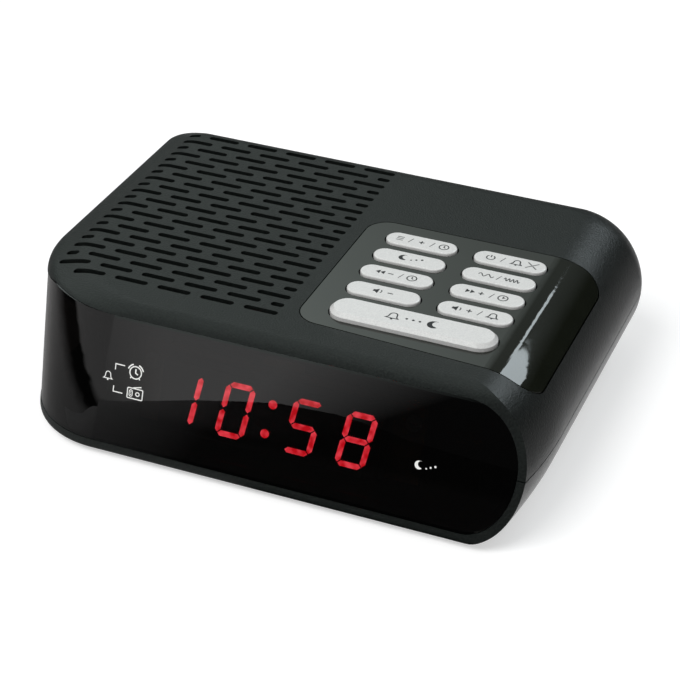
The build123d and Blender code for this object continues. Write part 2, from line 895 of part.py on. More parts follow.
# ---------------------------------------------------------------- loudspeaker
speaker_axis = Axis((speaker_x, speaker_y, 0), (0, 0, 1))
speaker_section = Plane(origin=(speaker_x, speaker_y, 0), x_dir=(1, 0, 0), z_dir=(0, -1, 0))
basket_rim = speaker_radius - gasket_width

with BuildPart() as speaker_gasket:
    with BuildSketch(Plane.XY.offset(speaker_top)):
        with Locations((speaker_x, speaker_y)):
            Circle(speaker_radius)
            Circle(basket_rim, mode=Mode.SUBTRACT)
    extrude(amount=gasket_thickness)
speaker_gasket.part.label = "speaker_gasket"
export_step(speaker_gasket.part, "parts/speaker_gasket.step")

with BuildPart() as speaker_frame:
    with BuildSketch(speaker_section):
        with BuildLine():
            Polyline(
                (speaker_radius, speaker_top),
                (speaker_radius, speaker_low),
                (basket_rim, speaker_low),
                (basket_rim, speaker_low - basket_side),
                (basket_neck_radius + basket_sheet, basket_low),
                (basket_neck_radius, basket_low),
                (basket_neck_radius, basket_low + basket_sheet),
                (basket_rim - basket_sheet, speaker_low - basket_side + basket_sheet),
                (basket_rim - basket_sheet, speaker_top),
                close=True,
            )
        make_face()
    revolve(axis=speaker_axis)
speaker_frame.part.label = "speaker_frame"
export_step(speaker_frame.part, "parts/speaker_frame.step")

with BuildPart() as speaker_magnet:
    with BuildSketch(Plane.XY.offset(basket_low)):
        with Locations((speaker_x, speaker_y)):
            Circle(magnet_radius)
    extrude(amount=-magnet_height)
    chamfer(speaker_magnet.edges().filter_by(GeomType.CIRCLE), basket_sheet)
speaker_magnet.part.label = "speaker_magnet"
export_step(speaker_magnet.part, "parts/speaker_magnet.step")

with BuildPart() as speaker_cone:
    cone_edge = basket_rim - basket_sheet - cone_gap
    surround_inner = cone_edge - 2 * surround_radius
    cone_top = speaker_top - surround_radius - cone_gap
    cone_low = basket_low + basket_sheet + cone_gap
    with BuildSketch(speaker_section):
        with BuildLine():
            ThreePointArc(
                (cone_edge, cone_top),
                (cone_edge - surround_radius, cone_top + surround_radius),
                (surround_inner, cone_top),
            )
            Line((surround_inner, cone_top), (dust_cap_radius, cone_low + cone_sheet))
            TangentArc(
                (0, cone_low + cone_sheet + dust_cap_rise),
                (dust_cap_radius, cone_low + cone_sheet),
                tangent=(1, 0),
            )
            Polyline(
                (0, cone_low + cone_sheet + dust_cap_rise),
                (0, cone_low),
                (dust_cap_radius, cone_low),
                (surround_inner, cone_top - cone_sheet),
                (cone_edge, cone_top - cone_sheet),
                (cone_edge, cone_top),
            )
        make_face()
    revolve(axis=speaker_axis)
speaker_cone.part.label = "speaker_cone"
export_step(speaker_cone.part, "parts/speaker_cone.step")

with BuildPart() as speaker_screws:
    with BuildSketch(Plane.XY.offset(speaker_low)):
        with Locations(speaker_post_places):
            Circle(speaker_washer_radius)
    extrude(amount=-speaker_washer_thickness)
    with BuildSketch(Plane.XY.offset(speaker_low - speaker_washer_thickness)):
        with Locations(speaker_post_places):
            Circle(screw_head_radius)
    extrude(amount=-screw_head_height)
    with BuildSketch(Plane.XY.offset(speaker_low)):
        with Locations(speaker_post_places):
            Circle(screw_radius)
    extrude(amount=speaker_screw_bite)
speaker_screws.part.label = "speaker_screws"
export_step(speaker_screws.part, "parts/speaker_screws.step")

# ---------------------------------------------------------------- mains transformer
core_low = inner_floor + transformer_lift
core_middle = core_low + core_height / 2
core_window_width = core_length / 2 - 2 * core_limb
core_window_height = core_height - 2 * core_limb
core_window_x = core_limb + core_window_width / 2
transformer_front = Plane(
    origin=(transformer_x, transformer_y, core_low), x_dir=(1, 0, 0), z_dir=(0, -1, 0)
)

with BuildPart() as transformer_core:
    with BuildSketch(transformer_front):
        with Locations((0, core_height / 2)):
            Rectangle(core_length, core_height)
            with Locations((-core_window_x, 0), (core_window_x, 0)):
                Rectangle(core_window_width, core_window_height, mode=Mode.SUBTRACT)
    extrude(amount=core_depth / 2, both=True)
transformer_core.part.label = "transformer_core"
export_step(transformer_core.part, "parts/transformer_core.step")

with BuildPart() as transformer_winding:
    with BuildSketch(Plane.XY.offset(core_middle)):
        with Locations((transformer_x, transformer_y)):
            RectangleRounded(
                core_length - 2 * core_limb - 2 * winding_gap,
                core_depth + 2 * winding_overhang,
                winding_overhang / 2,
            )
            Rectangle(
                2 * core_limb + 2 * winding_gap, core_depth + 2 * winding_gap, mode=Mode.SUBTRACT
            )
    extrude(amount=core_window_height / 2 - winding_gap, both=True)
transformer_winding.part.label = "transformer_winding"
export_step(transformer_winding.part, "parts/transformer_winding.step")

with BuildPart() as transformer_bracket:
    strap_half = core_length / 2 + bracket_sheet
    with BuildSketch(transformer_front):
        with Locations((0, core_height / 2 + bracket_sheet / 2)):
            Rectangle(2 * strap_half, core_height + bracket_sheet)
        with Locations((0, bracket_sheet / 2)):
            Rectangle(2 * strap_half + 2 * bracket_ear, bracket_sheet)
        with Locations((0, core_height / 2)):
            Rectangle(core_length, core_height, mode=Mode.SUBTRACT)
    extrude(amount=bracket_depth / 2, both=True)
    with BuildSketch(Plane.XY.offset(core_low)):
        with Locations(transformer_screw_places):
            Circle(screw_radius + screw_gap)
    extrude(amount=bracket_sheet, mode=Mode.SUBTRACT)
transformer_bracket.part.label = "transformer_bracket"
export_step(transformer_bracket.part, "parts/transformer_bracket.step")


def screw(plane, length):
    """A slotted pan-head screw: its head stands on the plane, its shank runs back."""
    with BuildPart() as body:
        with BuildSketch(plane):
            Circle(screw_head_radius)
        extrude(amount=screw_head_height)
        with BuildSketch(plane.offset(screw_head_height)):
            Rectangle(2 * screw_head_radius, screw_slot_width)
        extrude(amount=-screw_slot_depth, mode=Mode.SUBTRACT)
        with BuildSketch(plane):
            Circle(screw_radius)
        extrude(amount=-length)
    return body.part


ear_top = core_low + bracket_sheet
transformer_screw_solids = [
    screw(Plane(origin=(x, y, ear_top)), bracket_sheet + transformer_lift)
    for x, y in transformer_screw_places
]
with BuildPart() as transformer_screws:
    add(transformer_screw_solids)
transformer_screws.part.label = "transformer_screws"
export_step(transformer_screws.part, "parts/transformer_screws.step")

board_bottom = key_board_top - board_thickness
board_screw_grip = board_thickness + screw_bite
board_screw_solids = [
    screw(Plane(origin=(x, y, board_bottom), x_dir=(1, 0, 0), z_dir=(0, 0, -1)), board_screw_grip)
    for x, y in key_board_posts
]
board_screw_solids += [
    screw(Plane(origin=(x, y, main_board_top)), board_screw_grip) for x, y in main_board_posts
]
board_screw_solids += [
    screw(on_front(x, display_screw_down, board_setback), board_thickness + pillar_depth)
    for x in (display_centre_x - pillar_reach, display_centre_x + pillar_reach)
]
with BuildPart() as board_screws:
    add(board_screw_solids)
board_screws.part.label = "board_screws"
export_step(board_screws.part, "parts/board_screws.step")

with BuildPart() as case_screws:
    head_top = lower_seam - case_boss_floor
    with BuildSketch(Plane.XY.offset(head_top)):
        with Locations(case_screw_places):
            Circle(case_screw_head_radius)
    extrude(amount=-case_screw_head_height)
    with BuildSketch(Plane.XY.offset(head_top - case_screw_head_height)):
        with Locations(case_screw_places):
            Rectangle(2 * case_screw_head_radius, screw_slot_width)
    extrude(amount=screw_slot_depth, mode=Mode.SUBTRACT)
    with BuildSketch(Plane.XY.offset(head_top)):
        with Locations(case_screw_places):
            Circle(case_screw_radius)
    extrude(amount=upper_seam - head_top + case_screw_bite)
case_screws.part.label = "case_screws"
export_step(case_screws.part, "parts/case_screws.step")

# ---------------------------------------------------------------- medium-wave aerial
with BuildPart() as ferrite_rod:
    with BuildSketch(Plane.YZ.offset(bay_x)):
        with Locations((rod_y, rod_height)):
            Circle(rod_radius)
    extrude(amount=rod_length / 2, both=True)
ferrite_rod.part.label = "ferrite_rod"
export_step(ferrite_rod.part, "parts/ferrite_rod.step")

with BuildPart() as ferrite_coil:
    with BuildSketch(Plane.YZ.offset(bay_x)):
        with Locations((rod_y, rod_height)):
            Circle(coil_radius)
            Circle(rod_radius + coil_gap, mode=Mode.SUBTRACT)
    extrude(amount=coil_length / 2, both=True)
ferrite_coil.part.label = "ferrite_coil"
export_step(ferrite_coil.part, "parts/ferrite_coil.step")

with BuildPart() as ferrite_holders:
    holder_half = rod_radius + holder_wall
    for side in (-1, 1):
        x = bay_x + side * (rod_length / 2 - holder_inset)
        with BuildSketch(Plane.YZ.offset(x)):
            with Locations((rod_y, rod_height)):
                Circle(holder_half)
            with Locations((rod_y, (bay_roof + rod_height) / 2)):
                Rectangle(2 * holder_half, rod_height - bay_roof)
            with Locations((rod_y, rod_height)):
                Circle(rod_radius + coil_gap, mode=Mode.SUBTRACT)
        extrude(amount=holder_width / 2, both=True)
ferrite_holders.part.label = "ferrite_holders"
export_step(ferrite_holders.part, "parts/ferrite_holders.step")

# ---------------------------------------------------------------- battery bay
with BuildPart() as battery_door:
    with BuildSketch():
        with Locations((bay_x, (door_front + case_depth) / 2)):
            Rectangle(2 * door_half_length, case_depth - door_front)
    extrude(amount=foot_height + door_thickness)
    add(outer_form, mode=Mode.INTERSECT)
    with BuildSketch(Plane.XY.offset(foot_height + door_thickness)):
        with Locations((bay_x, (door_front + bay_back) / 2)):
            Rectangle(2 * (door_half_length + tongue_depth), bay_back - door_front)
    extrude(amount=-tongue_height)
    with BuildSketch(Plane.XY.offset(foot_height)):
        with Locations((bay_x, (door_front + bay_back) / 2)):
            with GridLocations(0, grip_pitch, 1, grip_count):
                SlotOverall(grip_length, grip_width)
    extrude(amount=grip_depth, mode=Mode.SUBTRACT)
battery_door.part.label = "battery_door"
export_step(battery_door.part, "parts/battery_door.step")

cell_height = (bay_low + bay_high) / 2
bay_half_length = bay_length / 2

with BuildPart() as battery_contacts:
    for side in (-1, 1):
        with BuildSketch(Plane.YZ.offset(bay_x + side * bay_half_length)):
            with Locations((bay_y, cell_height)):
                with GridLocations(cell_pitch, 0, 2, 1):
                    Rectangle(contact_width, contact_height)
        extrude(amount=-side * contact_thickness)
battery_contacts.part.label = "battery_contacts"
export_step(battery_contacts.part, "parts/battery_contacts.step")

with BuildPart() as battery_springs:
    for side in (-1, 1):
        plate_x = bay_x + side * (bay_half_length - contact_thickness - spring_wire)
        spring_y = bay_y + side * cell_pitch / 2
        with BuildLine():
            coil = Helix(
                pitch=spring_length / spring_turns,
                height=spring_length,
                radius=spring_radius,
                center=(plate_x, spring_y, cell_height),
                direction=(-side, 0, 0),
            )
        with BuildSketch(Plane(origin=coil @ 0, z_dir=coil % 0)):
            Circle(spring_wire)
        sweep(path=coil)
battery_springs.part.label = "battery_springs"
export_step(battery_springs.part, "parts/battery_springs.step")

# ---------------------------------------------------------------- feet and lead bushes
with BuildPart() as rubber_feet:
    with BuildSketch():
        with Locations(foot_places):
            Circle(foot_radius)
    extrude(amount=foot_height + foot_recess)
    chamfer(rubber_feet.edges().group_by(Axis.Z)[0], foot_recess / 2)
rubber_feet.part.label = "rubber_feet"
export_step(rubber_feet.part, "parts/rubber_feet.step")

for name, (x, bore) in zip(("cord_bush", "aerial_bush"), bushes):
    with BuildPart() as bush:
        with BuildSketch(Plane.XZ.offset(-case_depth / 2)):
            with Locations((x, bush_height)):
                Circle(bore + bush_wall)
        extrude(amount=wall + bush_tail)
        with BuildSketch(Plane.XZ.offset(-case_depth / 2)):
            with Locations((x, bush_height)):
                Circle(bore + bush_wall + bush_flange)
        extrude(amount=bush_flange_thickness)
        with BuildSketch(Plane.XZ.offset(-case_depth / 2)):
            with Locations((x, bush_height)):
                Circle(bore)
        extrude(amount=wall + bush_tail, mode=Mode.SUBTRACT)
    bush.part.label = name
    export_step(bush.part, f"parts/{name}.step")

# ---------------------------------------------------------------- electronic parts
with BuildPart() as integrated_circuits:
    with BuildSketch(Plane.XY.offset(main_board_top)):
        with Locations(chip_places):
            Rectangle(*chip_size)
    extrude(amount=chip_height)
integrated_circuits.part.label = "integrated_circuits"
export_step(integrated_circuits.part, "parts/integrated_circuits.step")

with BuildPart() as capacitors:
    with BuildSketch(Plane.XY.offset(main_board_top)):
        with Locations(capacitor_places):
            Circle(capacitor_radius)
    extrude(amount=capacitor_height)
    fillet(capacitors.edges().group_by(Axis.Z)[-1], capacitor_round)
capacitors.part.label = "capacitors"
export_step(capacitors.part, "parts/capacitors.step")

with BuildPart() as crystal:
    with BuildSketch(Plane.XY.offset(main_board_top)):
        with Locations(crystal_place):
            SlotOverall(*crystal_size)
    extrude(amount=crystal_height)
crystal.part.label = "crystal"
export_step(crystal.part, "parts/crystal.step")
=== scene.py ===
# %% [markdown]
# # A low bedside clock radio
# The CAD model holds every solid of the radio at its real size: two case halves, a smoked lens,
# a glossy key panel, nine keys, and the boards, loudspeaker and transformer inside them.
# This lesson loads that model, gives each part the surface that its material has when it is made,
# prints the signs on keys and lens, and sets a small product studio up around it.

import json
import math

import bmesh
import bpy
from mathutils import Matrix, Vector
from mathutils.bvhtree import BVHTree


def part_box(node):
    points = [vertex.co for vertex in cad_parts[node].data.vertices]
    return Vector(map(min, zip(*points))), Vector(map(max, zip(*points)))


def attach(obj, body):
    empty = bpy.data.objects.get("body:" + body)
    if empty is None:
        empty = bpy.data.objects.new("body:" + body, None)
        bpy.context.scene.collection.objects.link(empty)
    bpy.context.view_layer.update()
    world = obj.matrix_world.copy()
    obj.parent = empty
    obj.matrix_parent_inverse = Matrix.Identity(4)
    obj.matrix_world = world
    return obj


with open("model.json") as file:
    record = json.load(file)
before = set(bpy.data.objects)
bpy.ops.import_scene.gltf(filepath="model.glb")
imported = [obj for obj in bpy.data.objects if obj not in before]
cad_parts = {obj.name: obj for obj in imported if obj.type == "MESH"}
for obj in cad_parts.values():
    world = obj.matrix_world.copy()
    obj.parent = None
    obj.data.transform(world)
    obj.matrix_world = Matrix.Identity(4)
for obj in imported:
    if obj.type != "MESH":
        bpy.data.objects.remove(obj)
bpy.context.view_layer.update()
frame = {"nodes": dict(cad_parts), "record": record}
nodes = frame["nodes"]
mm = 0.001

# %% [markdown]
# ## Camera
# The radio is seen from its front right and from above, as it stands on a bedside table.
# A long lens keeps its sides nearly parallel. An aim, an azimuth, an elevation and a small roll
# are easier to read than a matrix, so the camera's axes are worked out from them.

# %% Camera
aim = Vector((5.86, -9.2, 20.0)) * mm
distance = 557.9 * mm
azimuth, elevation, roll = map(math.radians, (21.345, 31.815, 1.345))
level = Vector((math.sin(azimuth), -math.cos(azimuth), 0))
back = level * math.cos(elevation) + Vector((0, 0, math.sin(elevation)))
right = Matrix.Rotation(roll, 3, back) @ Vector((-level.y, level.x, 0))
axes = Matrix((right, back.cross(right), back)).transposed().to_4x4()
camera_data = bpy.data.cameras.new("studio_camera")
camera_data.lens = 108.1
camera_data.clip_start, camera_data.clip_end = 0.01, 60.0
camera = bpy.data.objects.new("studio_camera", camera_data)
camera.matrix_world = Matrix.Translation(aim + back * distance) @ axes
bpy.context.scene.collection.objects.link(camera)
bpy.context.scene.camera = camera
bpy.context.scene.view_settings.view_transform = "Standard"
print("camera at", [round(v, 3) for v in camera.location])

# %% [markdown]
# ## Colours and nodes
# Colours are picked as sRGB hex values, as in any paint program, and shaders want linear light,
# so one function turns one into the other. A second function adds a node, sets it and links it,
# so that each recipe below reads from top to bottom like a list. A socket goes by its name, or by
# its number where names repeat: a Mix node has its share at 0, two plain values at 2 and 3, and
# two colours at 6 and 7. Every pattern is drawn in object coordinates, which here are real
# metres, so its scale comes from a size in millimetres.

# %% Colour and node helpers
def linear(hex_colour):
    """Linear RGBA of an sRGB hex colour."""
    channels = [int(hex_colour[i : i + 2], 16) / 255 for i in (1, 3, 5)]
    return [c / 12.92 if c <= 0.04045 else ((c + 0.055) / 1.055) ** 2.4 for c in channels] + [1.0]


def add(tree, kind, sockets=None, **settings):
    """Adds a node. A socket takes a value, an output to link, or a node whose output in use is linked."""
    node = tree.nodes.new(kind)
    for name, value in settings.items():
        setattr(node, name, value)
    for name, value in (sockets or {}).items():
        if isinstance(value, bpy.types.Node):
            value = next(output for output in value.outputs if output.enabled)
        if isinstance(value, bpy.types.NodeSocket):
            tree.links.new(value, node.inputs[name])
        else:
            node.inputs[name].default_value = value
    return node


def new_material(name):
    """An empty material, its node tree, and the object coordinates that patterns are drawn in."""
    material = bpy.data.materials.new(name)
    material.use_nodes = True
    material.node_tree.nodes.clear()
    place = add(material.node_tree, "ShaderNodeTexCoord").outputs["Object"]
    return material, material.node_tree, place


print("mid grey #808080 is", round(linear("#808080")[0], 3), "in linear light")


# %% [markdown]
# ## One recipe for moulded, sintered and plated surfaces
# Most surfaces of a radio are one material with small irregularities: pits of a mould, flow
# marks, grains. One noise can draw them all. It moves the colour between two tones, the
# roughness by a little, and the surface up and down by a fraction of a millimetre.

# %% The recipe
noise_range = {"From Min": 0.3, "From Max": 0.7}    # a noise rarely leaves these values
roughness_spread = 0.06


def made_of(name, dark, light, grain, roughness, relief=0.0, **sockets):
    """A finish from two hex tones and a noise. grain and relief are sizes in millimetres."""
    material, tree, place = new_material(name)
    noise = add(tree, "ShaderNodeTexNoise", {"Vector": place, "Scale": 1 / (grain * mm)})
    share = add(tree, "ShaderNodeMapRange", {"Value": noise, **noise_range})
    tones = {0: share, 6: linear(dark), 7: linear(light)}
    settings = {"Base Color": add(tree, "ShaderNodeMix", tones, data_type="RGBA")}
    if roughness:
        limits = {"Value": share, "To Min": roughness, "To Max": roughness + roughness_spread}
        settings["Roughness"] = add(tree, "ShaderNodeMapRange", limits)
    else:
        settings["Roughness"] = 0.0    # polished: the same all over, so nothing is linked
    if relief:
        settings["Normal"] = add(tree, "ShaderNodeBump", {"Height": noise, "Distance": relief * mm})
    settings.update({socket.replace("_", " "): value for socket, value in sockets.items()})
    shader = add(tree, "ShaderNodeBsdfPrincipled", settings)
    add(tree, "ShaderNodeOutputMaterial", {"Surface": shader})
    print(name, "with a grain of", grain, "mm")
    return material


finishes = {}

# %% [markdown]
# ## Case: spark-textured ABS
# The case halves and the battery door are moulded from black ABS in a mould whose faces are
# spark-eroded. That leaves pits of about 0.08 mm, too fine to show, so they are drawn at 0.5 mm.
# The plastic itself is nearly black: the grey that the eye sees is the room, spread out by the
# pits, which also take most of its gloss away. So roughness and specular level set its look.

# %% Case plastic
finishes["case_plastic"] = made_of(
    "spark_textured_abs", "#0b0d0d", "#1a1e1c", 0.5, 0.34, 0.12, IOR=1.53, Specular_IOR_Level=0.38
)

# %% [markdown]
# ## Lens: smoked acrylic
# The window over the digits is cast acrylic dyed grey, polished on both faces. It hides all that
# is behind it but the lit segments, and mirrors the room faintly, as any plastic does that is
# smooth. A transmitting shader does both. Its colour is what one pass leaves of white light, and
# it changes a little over 14 mm, as a dye does that isn't fully stirred in.

# %% Smoked lens
finishes["smoked_lens"] = made_of(
    "smoked_acrylic", "#474342", "#4b4746", 14, 0.0, IOR=1.49, Transmission_Weight=1.0
)

# %% [markdown]
# ## Key panel: polished ABS
# The panel is the same black ABS from a polished mould. It is a dark mirror with the very slight
# waviness, 9 mm wide and 0.0006 mm high, that thin mouldings have, so that reflections in it
# aren't dead straight. It is built node by node here because its roughness must not vary.

# %% Key panel
material, tree, place = new_material("polished_black_abs")
wave = add(tree, "ShaderNodeTexNoise", {"Vector": place, "Scale": 1 / (9 * mm), "Detail": 0.0})
tones = {0: wave, 6: linear("#11130d"), 7: linear("#161812")}
shader = add(tree, "ShaderNodeBsdfPrincipled", {
    "Base Color": add(tree, "ShaderNodeMix", tones, data_type="RGBA"),
    "Roughness": 0.04,
    "IOR": 1.53,
    "Normal": add(tree, "ShaderNodeBump", {"Height": wave, "Distance": 0.0006 * mm}),
})
add(tree, "ShaderNodeOutputMaterial", {"Surface": shader})
finishes["panel_gloss"] = material
print("panel:", material.name)

# %% [markdown]
# ## Keys: silver lacquer
# The keys are ABS sprayed with a silver lacquer: aluminium flakes of 0.02 mm in a clear coat.
# Single flakes can't show here, so they are drawn as cells of 0.25 mm that differ a little in
# tone. The lacquer is part metal: it is bright from every side, and brighter towards the lamps.

# %% Silver lacquer
material, tree, place = new_material("silver_lacquer_on_abs")
flakes = add(tree, "ShaderNodeTexVoronoi", {"Vector": place, "Scale": 1 / (0.25 * mm)}).outputs["Color"]
tones = {0: flakes, 6: linear("#d4d4d3"), 7: linear("#e6e6e4")}
shader = add(tree, "ShaderNodeBsdfPrincipled", {
    "Base Color": add(tree, "ShaderNodeMix", tones, data_type="RGBA"),
    "Metallic": 0.15,
    "Roughness": 0.38,
    "Coat Weight": 0.2,
    "Coat Roughness": 0.15,
})
add(tree, "ShaderNodeOutputMaterial", {"Surface": shader})
finishes["key_silver"] = material
print("keys:", material.name)

# %% [markdown]
# ## Digits: light guides of red epoxy
# Each segment is a small well of dyed epoxy with a red diode under it. Lit, it glows nearly evenly,
# a little brighter over the chip; unlit, it is a dull dark red that the smoked lens hides.
# The glow is given as emission, strong enough to come through the lens at its real brightness.

# %% Lit and unlit segments
material, tree, place = new_material("lit_red_epoxy")
chips = add(tree, "ShaderNodeTexNoise", {"Vector": place, "Scale": 1 / (1.6 * mm), "Detail": 0.0})
share = add(tree, "ShaderNodeMapRange", {"Value": chips, **noise_range})
tones = {0: share, 6: linear("#cf1120"), 7: linear("#ff4a5a")}
glow = add(tree, "ShaderNodeMix", tones, data_type="RGBA")
shader = add(tree, "ShaderNodeBsdfPrincipled", {
    "Base Color": glow, "Emission Color": glow, "Emission Strength": 11.0, "Roughness": 0.5,
})
add(tree, "ShaderNodeOutputMaterial", {"Surface": shader})
finishes["segment_red"] = material
finishes["segment_dark"] = made_of("unlit_red_epoxy", "#18100f", "#211614", 0.8, 0.5)
print("digits:", material.name)

# %% [markdown]
# ## Boards and switches
# Little of the inside can be seen, through the slots and the battery bay, but each part has its
# own stuff. Cheap radios have boards of brown phenolic paper, whose fibres make a fine mottle.
# The switches are nylon with acetal plungers. The display's housing is matt black, so that no
# light leaks from one segment to the next, and coil holders and capacitors are plain ABS. These
# stuffs differ in tone, grain and gloss only, so the recipe does for all of them.

# %% Boards and switches
finishes["circuit_board"] = made_of("phenolic_paper_board", "#8a5f33", "#a97b46", 1.5, 0.5)
finishes["switch_housing"] = made_of("moulded_nylon", "#202023", "#2c2c30", 0.6, 0.45)
finishes["switch_plunger"] = made_of("moulded_acetal", "#1b1b1d", "#26262a", 0.6, 0.4)
finishes["module_black"] = made_of("matt_polycarbonate", "#070708", "#0c0c0d", 0.8, 0.6)
finishes["holder_plastic"] = made_of("blue_abs", "#26345a", "#31406b", 1.0, 0.45)

# %% [markdown]
# ## Loudspeaker
# The cone is pressed from black paper pulp, whose fibres give it a dull, slightly hairy face. It
# is glued into a zinc-plated steel basket. A ring of foam seals it to the case, and a magnet of
# sintered ferrite, dark grey and slightly porous, closes it behind. Paper and foam are nearly
# black and rough, which is why the slots over them look black. The recipe makes all four, and its
# relief stands for fibres and pores.

# %% Loudspeaker
finishes["cone_paper"] = made_of("pressed_black_paper", "#0a0a09", "#131211", 1.0, 0.8, 0.05)
finishes["gasket_foam"] = made_of("closed_cell_foam", "#08080a", "#101012", 0.5, 0.85, 0.1)
finishes["steel_sheet"] = made_of("zinc_plated_steel", "#9b9ea0", "#b9bcbc", 2.0, 0.35, Metallic=1.0)
finishes["magnet_ferrite"] = made_of("sintered_ferrite", "#2e2d2f", "#3d3c3e", 0.6, 0.6, 0.02)

# %% [markdown]
# ## Transformer, screws, contacts and feet
# The transformer's core is a stack of bare silicon-iron sheets, grey and dull. Its winding and
# the aerial's coil are copper wire under clear red-brown enamel. Screws and battery contacts are
# steel with a nickel coat, which is warmer and smoother than zinc. The feet are black rubber,
# moulded with a faint grain, and rubber scatters almost all light. A metal in the recipe keeps
# the default IOR: its colour is what it mirrors.

# %% Transformer, screws, contacts and feet
finishes["core_iron"] = made_of("silicon_iron_sheets", "#55565a", "#6b6c70", 0.5, 0.45, 0.01, Metallic=1.0)
finishes["copper_wire"] = made_of("enamelled_copper", "#9c4a22", "#c06a35", 0.4, 0.3, 0.02, Metallic=1.0)
finishes["screw_steel"] = made_of("nickelled_steel", "#a4a19a", "#c3c0b8", 1.0, 0.3, Metallic=1.0)
finishes["contact_nickel"] = made_of("nickel_plate", "#b7b3a8", "#cdc9be", 1.0, 0.25, Metallic=1.0)
finishes["foot_rubber"] = made_of("moulded_rubber", "#17181a", "#232426", 0.5, 0.75, 0.03)

# %% [markdown]
# ## Dressing the CAD nodes
# The record that comes with the model says which finish each node has, so the nodes are dressed
# in one loop. Their meshes are left as they are, because the solids already have the real shapes.

# %% Put the finishes on the CAD nodes
for subpart in frame["record"]["subparts"]:
    mesh = nodes[subpart["node"]].data
    mesh.materials.clear()
    mesh.materials.append(finishes[subpart["material_slot"]])
print(len(finishes), "finishes on", len(nodes), "nodes")

# %% [markdown]
# ## Drawing signs
# The signs on keys and lens are printed: a film of ink 0.02 mm thick. Text objects or textures
# could do it, but drawn shapes keep sharp edges at any distance. A sign is drawn flat, in
# millimetres, out of strokes and filled shapes, each a list of corners.

# %% Strokes, arcs and discs
mitre_limit = 0.4    # a mitre reaches no farther than half a stroke's width over this


def stroke(points, width=0.3, closed=False):
    """Quads along a row of points, mitred where the row turns."""
    points = [Vector(p) for p in points]
    count = len(points)
    sides = []
    for i, point in enumerate(points):
        steps = []
        if closed or i:
            steps.append((point - points[i - 1]).normalized())
        if closed or i < count - 1:
            steps.append((points[(i + 1) % count] - point).normalized())
        along = sum(steps, Vector((0, 0))).normalized()
        reach = width / 2 / max(along.dot(steps[0]), mitre_limit)
        aside = Vector((along.y, -along.x)) * reach
        sides.append((point + aside, point - aside))
    return [[*sides[i], *reversed(sides[(i + 1) % count])] for i in range(count if closed else count - 1)]


def arc(x, y, radius, start=0, end=360, steps=24):
    """Points on a circle from one angle to another, in degrees."""
    angles = [math.radians(start + (end - start) * i / steps) for i in range(steps + 1)]
    return [(x + radius * math.cos(a), y + radius * math.sin(a)) for a in angles]


def ring(x, y, radius, width=0.3):
    """A whole circle as a stroke."""
    return stroke(arc(x, y, radius)[:-1], width, closed=True)


def disc(x, y, radius):
    """A filled circle."""
    return [arc(x, y, radius)[:-1]]


def moved(shapes, x, y=0.0, scale=1.0):
    """Shapes made larger by scale and moved."""
    return [[(p[0] * scale + x, p[1] * scale + y) for p in shape] for shape in shapes]


print("a ring has", len(ring(0, 0, 1)), "quads, a disc", len(disc(0, 0, 1)), "face")

# %% [markdown]
# ## The signs
# The keys carry plain signs that are in common use on such keys: a power sign, a moon for sleep,
# a loudspeaker with plus and minus, arrowheads for tuning, waves for the wave band, a clock and
# a bell. Each is about 2.4 mm high, and a function draws it about its own middle.

# %% Bell, clock and moon
def bell(width=0.3):
    """A bell with a hem, and its clapper."""
    dome = arc(0, 0.35, 0.72, 0, 180, 12)
    outline = [(1.25, -0.85), (0.85, -0.45), *dome, (-0.85, -0.45), (-1.25, -0.85)]
    return stroke(outline, width, closed=True) + disc(0, -1.15, 0.24)


def clock(hand=(0.45, -0.3), width=0.28):
    """A clock face with two hands."""
    return ring(0, 0, 1.1, width) + stroke([(0, 0.7), (0, -0.05), hand], width)


def moon():
    """A crescent."""
    return [arc(0, 0, 1.15, 65, 315, 20) + arc(0.62, 0.28, 0.92, 262, 98, 14)]


def rising_dots():
    """Three dots that grow to the right, for falling asleep."""
    places = ((0.6, -0.5, 0.22), (1.7, 0.0, 0.26), (2.9, 0.5, 0.3))
    return [shape for x, y, radius in places for shape in disc(x, y, radius)]


print("bell", len(bell()), "clock", len(clock()), "moon", len(moon()), "faces")

# %% Loudspeaker, plus, minus and slash
def loudspeaker():
    """A loudspeaker seen from its side, with one wave of sound."""
    horn = [(-1.1, -0.4), (-0.6, -0.4), (0.1, -1.0), (0.1, 1.0), (-0.6, 0.4), (-1.1, 0.4)]
    return [horn] + stroke(arc(0.0, 0, 0.85, -42, 42, 8), 0.25)


def minus():
    """A minus sign."""
    return stroke([(-0.65, 0), (0.65, 0)], 0.32)


def plus():
    """A plus sign, in three pieces that only touch."""
    return minus() + stroke([(0, 0.16), (0, 0.65)], 0.32) + stroke([(0, -0.65), (0, -0.16)], 0.32)


def slash():
    """The stroke between two signs."""
    return stroke([(-0.35, -1.0), (0.35, 1.0)], 0.2)


print("loudspeaker", len(loudspeaker()), "plus", len(plus()), "faces")

# %% Arrows, power, waves, list and cross
def arrows(side):
    """Two solid arrowheads that point left (-1) or right (1)."""
    heads = ([(x - 0.5 * side, -0.75), (x + 0.5 * side, 0), (x - 0.5 * side, 0.75)] for x in (-0.55, 0.55))
    return [head if side > 0 else head[::-1] for head in heads]


def power():
    """An open ring with a stroke in its gap."""
    return stroke(arc(0, -0.05, 0.95, 125, 415), 0.28) + stroke([(0, 0.15), (0, 1.1)], 0.28)


def wave_train(length, count):
    """A row of waves."""
    shares = [i / (10 * count) for i in range(10 * count + 1)]
    return stroke([(length * (t - 0.5), 0.6 * math.sin(math.tau * count * t)) for t in shares], 0.26)


def list_lines():
    """Three lines of a list."""
    return [shape for y in (-0.7, 0, 0.7) for shape in stroke([(-0.8, y), (0.8, y)], 0.26)]


